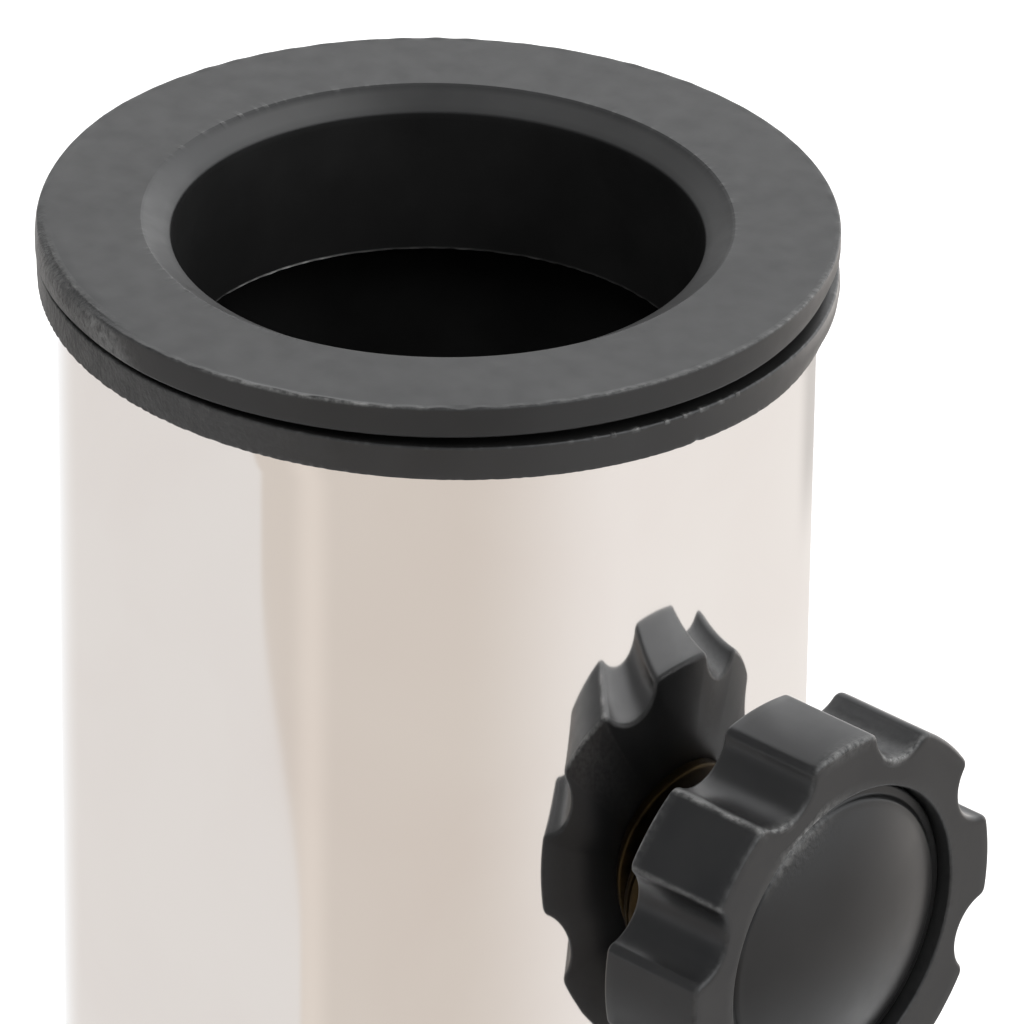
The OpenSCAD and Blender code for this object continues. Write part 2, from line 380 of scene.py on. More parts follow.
def plated_zinc(name, color, rough, blotch):
    """Plated steel: fine crystalline bloom and slight colour drift."""
    f = Finish(name, color, rough, 1.0)
    drift = f.spread(f.noise(0.5, 4.0), 0.3, 0.7)
    f.color(f.mix(drift, color, blotch))
    f.roughness(f.spread(f.noise(2.5, 3.0), 0.3, 0.7, rough - 0.06, rough + 0.1))
    f.bump(f.noise(9.0, 2.0), 0.003)
    return f.material


def rubber(name, tone, rough=0.7):
    f = Finish(name, tone, rough, IOR=1.45)
    dusty = f.spread(f.noise(0.08, 5.0), 0.4, 0.7)
    f.color(f.mix(dusty, tone, tuple(t * 1.7 + 0.006 for t in tone)))
    f.roughness(f.spread(f.noise(1.2, 3.0), 0.3, 0.7, rough - 0.1, rough + 0.1))
    f.bump(f.noise(3.0, 3.0), 0.012)
    return f.material


def polished_steel():
    """Mirror steel: faint polishing drift along the tube and very slight waviness."""
    f = Finish("polished_steel", (0.93, 0.925, 0.92), 0.035, 1.0)
    stain = f.spread(f.noise(0.045, 4.0, distortion=0.6), 0.42, 0.68)
    f.color(f.mix(stain, (0.935, 0.93, 0.925), (0.915, 0.9, 0.895)))
    f.roughness(f.spread(f.noise(0.06, 4.0, (1, 1, 0.3)), 0.3, 0.7, 0.03, 0.06))
    f.bump(f.noise(0.05, 2.0, (1, 1, 0.35)), 0.006, 0.6)
    return f.material


def spun_steel():
    f = Finish("cover_steel", (0.72, 0.71, 0.70), 0.16, 1.0, Anisotropic=0.4)
    f.roughness(f.spread(f.noise(0.4, 4.0), 0.3, 0.7, 0.12, 0.22))
    f.bump(f.noise(1.5, 2.0, (1, 1, 6)), 0.002)
    return f.material


def plate_steel():
    f = Finish("plate_steel", (0.32, 0.32, 0.33), 0.38, 1.0)
    mill = f.noise(0.15, 6.0)
    f.color(f.mix(f.spread(mill, 0.35, 0.7), (0.36, 0.36, 0.37), (0.22, 0.21, 0.21)))
    f.roughness(f.spread(f.noise(0.7, 4.0), 0.3, 0.7, 0.3, 0.5))
    f.bump(f.noise(3.0, 3.0), 0.01)
    return f.material


def weld_steel():
    f = Finish("weld_steel", (0.5, 0.48, 0.46), 0.3, 1.0)
    heat = f.spread(f.noise(0.25, 3.0), 0.35, 0.65)
    bare, straw, violet, pale = (0.5, 0.5, 0.52), (0.5, 0.4, 0.24), (0.28, 0.22, 0.34), (0.5, 0.48, 0.46)
    f.color(f.ramp(heat, [(0.0, bare), (0.45, straw), (0.75, violet), (1.0, pale)]))
    f.bump(f.noise(4.0, 3.0), 0.02)
    return f.material


def granite():
    """Dark polished granite: grey feldspar and black mica grains with a few pale crystals."""
    f = Finish("granite", (0.1, 0.1, 0.1), 0.12, IOR=1.52)
    tone = f.ramp(f.noise(0.35, 6.0, rough=0.65), [
        (0.32, (0.012, 0.012, 0.013)), (0.5, (0.06, 0.06, 0.062)),
        (0.62, (0.17, 0.168, 0.165)), (0.75, (0.3, 0.295, 0.285)),
    ])
    mica = f.ramp(f.cells(0.42, "F1"), [(0.12, (0, 0, 0)), (0.3, (1, 1, 1))])
    speck = f.mix(mica, (0.008, 0.008, 0.009), tone)
    glint = f.ramp(f.cells(0.19, "F1", (1, 1.3, 1)), [(0.1, (1, 1, 1)), (0.2, (0, 0, 0))])
    f.color(f.mix(glint, speck, (0.42, 0.41, 0.39)))
    f.roughness(f.spread(f.noise(1.4, 3.0), 0.35, 0.65, 0.07, 0.24))
    f.bump(f.noise(1.1, 4.0), 0.008)
    return f.material


def nylon():
    f = Finish("dowel_nylon", (0.62, 0.61, 0.57), 0.45)
    f.color(f.mix(f.spread(f.noise(0.4), 0.3, 0.7), (0.62, 0.61, 0.57), (0.55, 0.54, 0.49)))
    f.bump(f.noise(2.0), 0.01)
    return f.material


# -------- fasteners

def hexagon(a, across):
    """Distance from the axis to a hexagon's outline at each angle."""
    off = (a + TAU / 12) % (TAU / 6) - TAU / 12
    return across / 2 / np.cos(off)


def chamfered_hex(steps, across, low, high):
    """Rings of a hexagon prism from low to high, with its top corners turned down."""
    outline = hexagon(angles(steps), across)
    face_r = across * 0.475
    drop = np.maximum(outline - face_r, 0) * math.tan(math.radians(30))
    edge = 0.12
    return [
        (outline - edge, low), (outline - edge * 0.3, low + edge * 0.3), (outline, low + edge),
        (outline, high - drop - edge), (outline - edge * 0.5, high - drop + edge * 0.2),
        (np.full(steps, face_r), high),
    ]


def thread_crest(z, a, pitch=M8_PITCH):
    """1 on the crest of a right-hand thread and 0 in its root."""
    phase = np.abs(2 * ((z / pitch - a / TAU) % 1) - 1)
    return np.clip((0.82 - phase) / 0.62, 0, 1)


def thread(steps, start, end, r=3.96, depth=0.62, pitch=M8_PITCH, lead_in=1.2, run_out=0.8):
    """Rings of a right-hand thread from start up to end, with a chamfered tip at start."""
    a = angles(steps)
    rings = []
    count = round((end - start) / pitch * 12)
    for k in range(count + 1):
        z = start + (end - start) * k / count
        ridge = r - depth * (1 - thread_crest(z, a, pitch))
        tip = r - lead_in + (z - start)
        shank = smooth(z, end - run_out, end)
        rings.append((np.minimum(ridge * (1 - shank) + r * shank, tip), z))
    return rings


def washer_rings(outer, inner, low, high, edge=0.25):
    corners = [(inner, low, edge * 0.5), (outer, low, edge), (outer, high, edge * 0.5), (inner, high, edge)]
    return rounded(corners, 1.0, 3)


def make_flange_bolts(silver):
    steps, length, head_h = 72, 30, 5.3
    neck = [(4.0, -0.3), (4.3, 0)]
    head = chamfered_hex(steps, M8_ACROSS, 0, head_h)
    rings = [(0, -length)] + thread(steps, -length, -0.6) + neck + head + [(0, head_h)]
    piece("flange_bolts", at_bolts(turned(rings, steps, False), 75.6), "base", silver, 28)


def make_flat_washers(silver):
    washer = turned(washer_rings(8, 4.2, 0, 1.6), 96)
    piece("flat_washers", at_bolts(washer, PLATE_TOP), "base", silver)


def make_lock_washers(silver):
    """Split rings: one end stands a little above the other."""
    section = rounded([(4.15, 0, 0.15), (6.6, 0, 0.2), (6.6, 2, 0.2), (4.15, 2, 0.15)], 1.0, 3)
    sweep = np.radians(np.linspace(5, 355, 90))
    r, z = np.array(section).T
    lean = np.linspace(-0.03, 0.03, len(sweep))[:, None]
    height = np.clip(z + lean, 0.005, 1.995)
    points = np.stack([r * np.cos(sweep)[:, None], r * np.sin(sweep)[:, None], height], -1).reshape(-1, 3)
    shape = (points, grid_faces(len(sweep), len(section), False) + end_faces(len(points), len(section)))
    piece("lock_washers", at_bolts(shape, PLATE_TOP + 1.6), "base", silver)


def make_stone_anchors(silver):
    """Knurled sleeves with a groove between each two bands of knurling."""
    steps = 72
    knurl = 5.86 + 0.12 * np.abs(np.sin(angles(steps) * 18))
    anchor = [(5.6, 0), (5.9, 0.3)]
    for k in range(10):
        z = 2 + k * 3.5
        anchor += [(5.75, z - 0.8), (knurl, z - 0.5), (knurl, z + 1.6), (5.75, z + 1.9)]
    anchor += [(5.9, 39.5), (5.7, 40), (4.35, 40), (4.05, 39.7), (4.05, 4), (0, 3)]
    shape = turned([(0, 0)] + anchor, steps, False)
    piece("stone_anchors", at_bolts(shape, 25), "base", silver)


def make_foot_screws(silver):
    """Pan-head screws, heads down, with a cross recess."""
    shank = thread(48, 3.2, 22, r=2.2, depth=0.5, pitch=1.6, lead_in=1.6, run_out=1.0)[::-1]
    shank = [(ring[0], 27 - ring[1] + 0.2) for ring in shank]
    head = [(0, 0.6), (2.2, 0.62), (3.6, 0.85), (4.35, 1.35), (4.6, 2.1), (4.55, 2.85), (4.4, 3), (2.3, 3)]
    screw = turned(head + [(2.2, 4.6)] + shank + [(0, 26.9)], 48, False)
    screws = linked("foot_screws_fine", mesh_of("foot_screws", at_feet(screw, 0)))
    for half_x, half_y in ((2.3, 0.5), (0.5, 2.3)):
        carve(screws, at_feet(bar(half_x, half_y, 0.3, 1.9), 0))
    place(screws, "base", "foot_screws", silver)


def make_foot_dowels():
    ribs = [(2.25, 5), (3.6, 5), (3.95, 5.4)]
    for k in range(9):
        z = 7 + k * 2.8
        ribs += [(3.7, z), (3.95, z + 1.9), (3.95, z + 2.3), (3.7, z + 2.5)]
    ribs += [(3.5, 32.2), (2.9, 33), (2.25, 33)]
    piece("foot_dowels", at_feet(turned(ribs, 48), 0), "base", nylon())


# -------- slab and foot

def slab_outline(inset, steps_per_corner=16, side_steps=12):
    """Square with round corners, moved in by inset, as points in order round the slab."""
    side, corner = 200.0, 25.0

    def on_corner(k, a):
        middle = (side - corner) * np.array(((1, 1), (-1, 1), (-1, -1), (1, -1))[k % 4])
        return middle + (corner - inset) * np.array((math.cos(a), math.sin(a)))

    points = []
    for k in range(4):
        turn = (k + np.linspace(0, 1, steps_per_corner + 1)) * TAU / 4
        points += [on_corner(k, a) for a in turn]
        start, end = points[-1], on_corner(k + 1, turn[-1])
        points += [start + (end - start) * t for t in np.linspace(0, 1, side_steps + 1)[1:-1]]
    return np.array(points)


def make_slab():
    """Rings of the slab's outline, moved in round its two edges, closed by one flat face at each end."""
    bottom, edge_r, deepest = 5, 2.6, 24
    corners = [(30, bottom, 0), (0, bottom, edge_r), (0, SLAB_TOP, edge_r), (30, SLAB_TOP, 0)]
    section = rounded(corners, 6.0, 8)
    rings = []
    for inset, z in section:
        if inset <= deepest:
            outline = slab_outline(inset)
            rings.append(np.column_stack([outline, np.full(len(outline), z)]))
    points = np.vstack(rings)
    count = len(rings[0])
    faces = grid_faces(len(rings), count, False) + end_faces(len(points), count)
    slab = linked("slab_fine", mesh_of("slab", [(points, faces)], 30))
    carve(slab, at_bolts(plug(6.1, 24.9, 66), 0) + at_feet(plug(4.1, 4, 33.1), 0), 30)
    place(slab, "base", "slab", granite())


def make_feet():
    tread = [(6.2, 0.5)]
    for k in range(5):
        r = 7.4 + k * 2.4
        tread += [(r, 0.0), (r + 1.3, 0.0), (r + 1.6, 0.45), (r + 2.1, 0.45)]
    outline = [(2.3, 3)] + [(5.9, 3), (6.0, 2.8), (6.0, 0.6)] + tread
    outline += [(19.3, 0.05), (19.8, 0.5), (20.0, 1.1), (19.9, 4.4), (19.5, 4.95), (2.3, 5)]
    black = rubber("foot_rubber", (0.022, 0.022, 0.022))
    piece("feet", at_feet(turned(outline, 120), 0), "base", black)


def make_flange_gasket():
    edge = rounded([(0, 65, 0), (61, 65, 0.3), (61, 67, 0.6), (0, 67, 0)], 8.0, 4)
    rings = [(0, 65)] + [(r, z) for r, z in edge if r > 0.01] + [(0, 67)]
    gasket = linked("flange_gasket_fine", mesh_of("flange_gasket", [turned(rings, 180, False)]))
    carve(gasket, at_bolts(plug(4.5, 64, 68), 0))
    place(gasket, "base", "flange_gasket", rubber("gasket_rubber", (0.02, 0.02, 0.02), 0.8))


def make_foot_flange():
    outline = rounded([(5, 67, 0.3), (60, 67, 0.5), (60, 72, 0.7), (5, 72, 0.4)], 6.0, 4)
    plate = linked("foot_flange_fine", mesh_of("foot_flange", [turned(outline, 240)]))
    hole = turned([(0, 66), (4.5, 66), (4.5, 71.6), (5.1, 72.2), (5.1, 73), (0, 73)], 64, False)
    carve(plate, at_bolts(hole, 0))
    bevel(plate, 0.15, 2)
    place(plate, "base", "foot_flange", plate_steel())


def make_tube_weld():
    """A fillet round the foot of the tube, with its beads overlapping like scales."""
    steps = 720
    a = angles(steps)
    beads = 0.22 * np.abs(np.sin(a * 36)) + 0.08 * ripple(a, 3, 4, 60)
    leg = 3.7 + 0.18 * ripple(a, 5, 3, 30)
    root_r = TUBE_R - 0.02
    rings = [(root_r, PLATE_TOP)]
    for t in np.linspace(0, 1, 11):
        bulge = beads * math.sin(math.pi * t) * 0.7
        rings.append((root_r + leg * (1 - t) + bulge, PLATE_TOP + leg * t + bulge))
    piece("tube_weld", [turned(rings, steps)], "base", weld_steel(), 50)


def make_pole_rest():
    """A plastic disc at the bottom of the tube with a cross of drain grooves."""
    outline = rounded([(5, 72, 0.3), (27.3, 72, 0.4), (27.3, 80, 0.8), (5, 80, 0.5)], 2.0, 5)
    rest = linked("pole_rest_fine", mesh_of("pole_rest", [turned(outline, 160)]))
    for half_x, half_y in ((1.5, 23.5), (23.5, 1.5)):
        carve(rest, [bar(half_x, half_y, 78, 82)])
    bevel(rest, 0.25, 2)
    plastic = black_plastic("rest_plastic", (0.014,) * 3, (0.022,) * 3, 0.4, 0.55)
    place(rest, "base", "pole_rest", plastic)


def make_cover_rosette():
    """A spun dome with a rolled rim and a short collar."""
    wall, rim_r, neck_r, rise, foot = 1.0, 75.0, 30.6, 22.0, 65.3
    t = np.radians(np.linspace(0, 90, 49))
    outer = [(neck_r + (rim_r - neck_r) * math.cos(x), foot + rise * math.sin(x)) for x in t]
    inner = [(neck_r + (rim_r - wall - neck_r) * math.cos(x), foot + (rise - wall) * math.sin(x)) for x in t]
    bend = 1.6
    outer = [p for p in outer if p[0] > neck_r + wall + bend]
    start = outer[-1][1]
    collar = [(neck_r + wall + bend * (1 - math.sin(x)), start + bend * (1 - math.cos(x)) * 0.9)
              for x in np.radians(np.linspace(15, 90, 6))]
    top = [(neck_r + wall, 94.9), (neck_r + wall * 0.75, 95.25), (neck_r + wall * 0.3, 95.28), (neck_r, 95.1)]
    rim = [(rim_r - wall, 65.45), (rim_r - wall * 0.6, 65.3), (rim_r - 0.1, 65.4)]
    profile = rim + outer + collar + top + [p for p in inner[::-1] if p[0] >= neck_r]
    a = angles(480)
    rings = [(r + 0.02 * ripple(a, 11, 2, 5), z) for r, z in profile]
    piece("cover_rosette", [turned(rings, 480)], "cover", spun_steel(), 40)


def make_rosette_ring():
    """A rubber sleeve in the collar with three lips that touch the tube."""
    lip, wall = 28.62, 28.95
    section = [(30.55, 86.4), (30.55, 95.15), (30.2, 95.3), (wall, 95.3)]
    section += [(lip, 95.05), (lip, 94.3), (wall, 93.9), (wall, 91.6), (lip, 91.1), (lip, 90.5), (wall, 90.1)]
    section += [(wall, 88.0), (lip, 87.5), (lip, 86.8), (28.9, 86.4)]
    black = rubber("ring_rubber", (0.02, 0.02, 0.02), 0.6)
    piece("rosette_ring", [turned(section, 240)], "cover", black, 50)


# -------- tube

def strip_faces(first, second):
    """Quads between two closed rows of point numbers."""
    count = len(first)
    after = [(m + 1) % count for m in range(count)]
    return [[first[m], first[after[m]], second[after[m]], second[m]] for m in range(count)]


def make_tube():
    """The tube's wall has every point exactly on its two cylinders, so that its mirror is true."""
    steps, half, row, layers = 360, 24, 0.5, 9
    hole_r = 5.6
    top = SEAT + 0.12
    z_low, z_high = CLAMP_Z - half * row, CLAMP_Z + half * row
    middle = list(np.linspace(z_low, z_high, 2 * half + 1))
    heights = list(np.linspace(PLATE_TOP, z_low, 60))[:-1] + middle
    heights += list(np.linspace(z_high, top - 0.2, 20))[1:]
    first = heights.index(middle[0])
    last = first + 2 * half
    a = angles(steps)
    points, faces = [], []

    def add(row_points):
        start = len(points)
        points.extend(row_points)
        return list(range(start, start + len(row_points)))

    def add_circle(r, z):
        return add([(r * math.cos(x), r * math.sin(x), z) for x in a])

    hole_rims, tube_ends = [], []
    for r in (TUBE_R, BORE_R):
        index = [add_circle(r, z) for z in heights]
        for i in range(len(index) - 1):
            for j in range(steps):
                in_patch = first <= i < last and (j + half) % steps < 2 * half
                if not in_patch:
                    nxt = (j + 1) % steps
                    faces.append([index[i][j], index[i][nxt], index[i + 1][nxt], index[i + 1][j]])
        loop = [index[first][(k - half) % steps] for k in range(2 * half)]
        loop += [index[first + k][half] for k in range(2 * half)]
        loop += [index[last][(half - k) % steps] for k in range(2 * half)]
        loop += [index[last - k][-half % steps] for k in range(2 * half)]
        corners = [points[v] for v in loop]
        square = np.array([(r * math.atan2(y, x), z - CLAMP_Z) for x, y, z in corners])
        bearing = np.arctan2(square[:, 1], square[:, 0])
        hole = np.stack([r * np.arcsin(hole_r * np.cos(bearing) / r), hole_r * np.sin(bearing)], -1)
        for k in range(1, layers + 1):
            t = 1 - (1 - k / layers) ** 1.5
            flat = square * (1 - t) + hole * t
            ring = add([(r * math.cos(s / r), r * math.sin(s / r), CLAMP_Z + h) for s, h in flat])
            faces += strip_faces(loop, ring)
            loop = ring
        hole_rims.append(loop)
        tube_ends.append((index[0], index[-1]))
    faces += strip_faces(*hole_rims)
    (outer_foot, edge), (inner_foot, inner_edge) = tube_ends
    faces += strip_faces(outer_foot, inner_foot)
    for r, drop in ((TUBE_R - 0.05, 0.06), (TUBE_R - 0.18, 0), (BORE_R + 0.18, 0), (BORE_R + 0.05, 0.06)):
        ring = add_circle(r, top - drop)
        faces += strip_faces(edge, ring)
        edge = ring
    faces += strip_faces(edge, inner_edge)
    piece("tube", [(np.array(points), faces)], "base", polished_steel(), 40)


# -------- reducers

INNER_TILT = (-0.0095, -0.0111)
OUTER_TILT = (-0.0258, 0.0)
INNER_FLOOR, OUTER_FLOOR = TOP, SEAT + 0.42


def near(r, h, corner, reach):
    """1 at a corner of a section, 0 from `reach` mm off it."""
    return smooth(1 - np.hypot(r - corner[0], h - corner[1]) / reach, 0, 1)


def ringed(outline, a, base, slopes, shape):
    """Rings of a section whose points shape(r, h) moves, laid on a slightly tilted plane."""
    rings = []
    for r, h in outline:
        dr, dh = shape(r, h)
        rings.append((r + dr, base + h + dh + tilt(a, r, slopes)))
    return rings


def untilted(x, y, z, base, slopes):
    """Azimuth, radius and height over its own plane, for points of a tilted ring."""
    a, r = np.arctan2(y, x), np.hypot(x, y)
    return a, r, z - base - tilt(a, r, slopes)


def flecks(a, seed, low, high, share=0.5):
    """Broken-up pattern round a ring, 0 to 1."""
    return smooth(ripple(a, seed, low, high, 40), share - 0.5, share + 0.5)


def make_inner_reducer():
    a = angles(1800)
    outline = rounded([
        (19.85, -13.2, 0.15), (19.97, -1.38, 0.3), (22.0, -0.1, 0.04), (22.2, 0, 0.04),
        (29.6, 0, 0), (30.1, 0, 0.2), (30.1, -0.5, 0), (30.1, -2.05, 0),
        (30.1, -2.5, 0.25), (29.6, -2.5, 0), (24.35, -2.5, 0.3), (24.35, -13.2, 0.4),
    ], 0.8, 6)
    torn = around(a, -61, 19)
    bevel_cut = 0.6 * around(a, -68, 24) * (0.9 + 0.1 * ripple(a, 21, 6, 24))
    bevel_cut += 0.2 * around(a, -98, 30)
    lip = 0.15 * around(a, -21, 17) * (0.75 + 0.25 * ripple(a, 23, 12, 50)) + 0.025 * ripple(a, 24, 20, 90)
    lip += 0.05 * around(a, 33, 20) * (0.6 + 0.5 * ripple(a, 25, 60, 200))
    low_cut = 0.02 + 0.12 * torn + 0.5 * around(a, 84, 42)
    hang = 0.02 * ripple(a, 28, 20, 90)

    def shape(r, h):
        top = near(r, h, (30.1, 0), 1.0)
        rim = near(r, h, (29.92, 0), 0.22)
        low = near(r, h, (30.1, -2.5), 1.2)
        end = near(r, h, (19.9, -13.2), 0.8)
        top_cut = 0.7 * top * bevel_cut
        bottom_cut = 0.7 * low * low_cut
        return -top_cut - bottom_cut, rim * lip - top_cut + bottom_cut - end * hang

    def masks(x, y, z):
        az, r, h = untilted(x, y, z, INNER_FLOOR, INNER_TILT)
        rim = near(r, h, (29.98, -0.02), 0.24)
        line = 0.2 + 0.8 * around(az, -20, 24) + 0.35 * around(az, 33, 24) + 0.5 * around(az, 64, 20)
        wear = rim * line * (0.6 + 0.4 * flecks(az, 31, 30, 200))
        wear += 0.55 * near(r, h, (29.3, -0.02), 0.22) * around(az, -68, 22)
        wear += 0.55 * smooth(r, 29.3, 29.8) * smooth(-h, 0.1, 0.6) * around(az + 0.03 * h, -57, 9)
        wear += 0.25 * smooth(r, 29.3, 29.6) * around(az, -72, 18)
        mouth = 0.7 * around(az, -50, 45) + 0.3 * around(az, 120, 60) + 0.6 * around(az, -140, 40)
        mouth *= near(r, h, (22.2, -0.02), 0.3)
        wear += 0.6 * mouth * flecks(az, 33, 40, 200, 0.6)
        end = near(r, h, (19.87, -13.2), 0.26)
        # Painted highlight: a bright glint line round the sleeve's bottom end, strongest at set azimuths.
        painted_highlight = end * (0.9 * around(az, -143, 27) + 0.16 * around(az, -165, 60) + 0.12 * around(az, 135, 50))
        painted_highlight *= 0.6 + 0.4 * flecks(az, 34, 20, 90, 0.4)
        scuffs = smooth(-h, 5, 7) * smooth(h, -12.5, -9) * around(az, -138, 26) * flecks(h * 3, 35, 2, 9)
        wear += 0.12 * scuffs * (r < 20.5)
        chamfer = smooth(r, 19.9, 20.2) * smooth(-r, -22, -21.7) * smooth(h, -2, -1.2)
        # Painted highlight on the bore's chamfer, strongest at set azimuths.
        painted_highlight += chamfer * (0.012 * around(az, 135, 100) + 0.03 * around(az, -147, 32))
        chamfer *= 0.6 * around(az, -150, 60)
        deep = smooth(-h, 0.9, 2.2) * (r < 21)
        pitted = smooth(r, 29.0, 29.7) * smooth(-h, -0.2, 0.2) * around(az, -70, 30)
        deep *= 1 - end
        return {"wear": wear, "deep": deep, "painted_highlight": painted_highlight, "gloss": chamfer, "pitted": pitted}

    rings = ringed(outline, a, INNER_FLOOR, INNER_TILT, shape)
    plastic = black_plastic(
        "inner_plastic", (0.008,) * 3, (0.012,) * 3, 0.36, 0.44, grain=0.003, ior=1.43, bores=True)
    piece("inner_reducer", [turned(rings, len(a))], "inner_adapter", plastic, 60, masks)


def make_outer_reducer():
    a = angles(1800)
    outline = rounded([
        (24.5, -30, 0.3), (24.5, 2.75, 0.4), (29.6, 2.75, 0), (30, 2.75, 0.18), (30, 2.4, 0),
        (30, 0.5, 0), (30, 0, 0.22), (29.5, 0, 0), (27.45, 0, 0.2), (27.4, -30, 0.5),
    ], 0.8, 6)
    rough_side = around(a, -66, 62)
    teeth = 0.35 + 0.65 * rough_side
    low_cut = 0.045 * np.clip(ripple(a, 41, 60, 260, 40), -0.5, 2) * teeth
    low_cut += 0.1 * around(a, 39.5, 1.4)
    low_bevel = 0.7 * around(a, 84, 33) + 0.1 * around(a, -85, 30)
    high_cut = np.maximum(ripple(a, 43, 40, 200, 40) - 0.2, 0) * (0.015 + 0.05 * around(a, 36, 22))
    high_bevel = 0.3 * around(a, 78, 32)
    swell = 0.17 * around(a, 84, 34)

    def shape(r, h):
        edge = near(r, h, (30, 0), 0.45)
        low = near(r, h, (30, 0), 1.5)
        high = near(r, h, (30, 2.75), 0.3)
        shed = 0.7 * high * high_cut + 0.5 * near(r, h, (30, 2.75), 1.2) * high_bevel
        cut = 0.7 * edge * low_cut + 0.7 * low * low_bevel
        return swell * smooth(r, 28.5, 29.5) - cut - shed, cut - shed

    def masks(x, y, z):
        az, r, h = untilted(x, y, z, OUTER_FLOOR, OUTER_TILT)
        side = smooth(r, 29.2, 29.8)
        wear = 0.15 * side * around(az, -60, 58) * (0.5 + 0.5 * flecks(az + 0.1 * h, 51, 20, 90))
        high = near(r, h, (29.92, 2.7), 0.3) * (0.1 + 0.8 * around(az, 36, 22))
        wear += high * flecks(az, 52, 60, 300, 0.6)
        low = 0.1 + 0.45 * around(az, -25, 30) + 0.4 * around(az, 55, 20)
        wear += near(r, h, (29.92, 0.05), 0.3) * low * flecks(az, 53, 60, 300, 0.6)
        deep = smooth(-h, -2.6, 0) * (r < 26) + 0.45 * side * around(az, -70, 45)
        return {"wear": wear, "deep": deep, "pitted": side * around(az, -66, 62)}

    rings = ringed(outline, a, OUTER_FLOOR, OUTER_TILT, shape)
    plastic = black_plastic("outer_plastic", (0.008,) * 3, (0.012,) * 3, 0.3, 0.4, grain=0.003, bores=True)
    piece("outer_reducer", [turned(rings, len(a))], "outer_adapter", plastic, 60, masks)


# -------- clamp

KNOB_R, LOBES, KNOB_PHASE = 16.8, 8, 1.0
FLUTE_R, FLUTE_AT = 3.2, 17.7
KNOB_BACK, KNOB_H = 32.7, 9.0
RECESS_R, RECESS_FLOOR = 12.3, 6.8
KNOB_BLACK = (0.0062, 0.0063, 0.0067)


def knob_outline(soften=0.85):
    """Lobed outline with rounded corners: its points in order, each with its outward direction."""
    centre_r = KNOB_R - soften
    reach = FLUTE_R + soften
    cx = (centre_r ** 2 + FLUTE_AT ** 2 - reach ** 2) / (2 * FLUTE_AT)
    cy = math.sqrt(centre_r ** 2 - cx ** 2)
    lobe_from = math.atan2(cy, cx)
    flute_to = math.atan2(cy, cx - FLUTE_AT)
    sector = TAU / LOBES
    flute = [(FLUTE_AT + FLUTE_R * math.cos(t), FLUTE_R * math.sin(t), t + math.pi)
             for t in np.linspace(TAU - flute_to, flute_to, 41)]
    corner = [(cx + soften * math.cos(t), cy + soften * math.sin(t), t)
              for t in np.linspace(flute_to - math.pi, lobe_from, 13)[1:]]
    lobe = [(KNOB_R * math.cos(t), KNOB_R * math.sin(t), t)
            for t in np.linspace(lobe_from, sector - lobe_from, 55)[1:-1]]
    c, s = math.cos(sector), math.sin(sector)
    mirrored = [(x * c + y * s, x * s - y * c, sector - t) for x, y, t in corner[::-1]]
    one = flute + corner + lobe + mirrored
    points = []
    for k in range(LOBES):
        b = math.radians(KNOB_PHASE) + (k + 0.5) * sector
        for x, y, t in one:
            points.append((x * math.cos(b) - y * math.sin(b), x * math.sin(b) + y * math.cos(b), t + b))
    return np.array(points)


def knob_masks(outline):
    """Wear of the knob: rubbed edges, most of them on the lobe at the camera's left and round the recess."""
    order = np.argsort(np.arctan2(outline[:, 1], outline[:, 0]))
    edge_a = np.arctan2(outline[:, 1], outline[:, 0])[order]
    edge_r = np.hypot(outline[:, 0], outline[:, 1])[order]

    def masks(x, y, z):
        v, along = z - CLAMP_Z, x - KNOB_BACK
        r, a = np.hypot(y, v), np.arctan2(v, y)
        inside = np.interp(a, edge_a, edge_r, period=TAU) - r
        front = near(inside, along, (0.1, 8.9), 0.5)
        back = near(inside, along, (0.1, 0.1), 0.45)
        rim = smooth(-inside, -0.6, -0.1)
        wear = front * (0.1 + 0.6 * beside(a, 91, 16) + 0.75 * beside(a, 68.5, 16) + 0.7 * beside(a, 120, 9))
        wear += back * (0.08 + 0.75 * beside(a, 137, 18))
        crinkle = 0.75 * beside(a, 125.0, 1.4) * (0.4 + 0.6 * flecks(along * 0.5, 64, 3, 30, 0.4))
        wear += rim * (crinkle + 0.3 * beside(a, 147.6, 1.2))
        wear += 0.16 * rim * beside(a, 69.5, 14)
        recess = near(r, along, (12.4, 8.95), 0.42)
        wear += recess * (0.06 + 0.9 * beside(a, 111, 24))
        return {"wear": wear}

    return masks


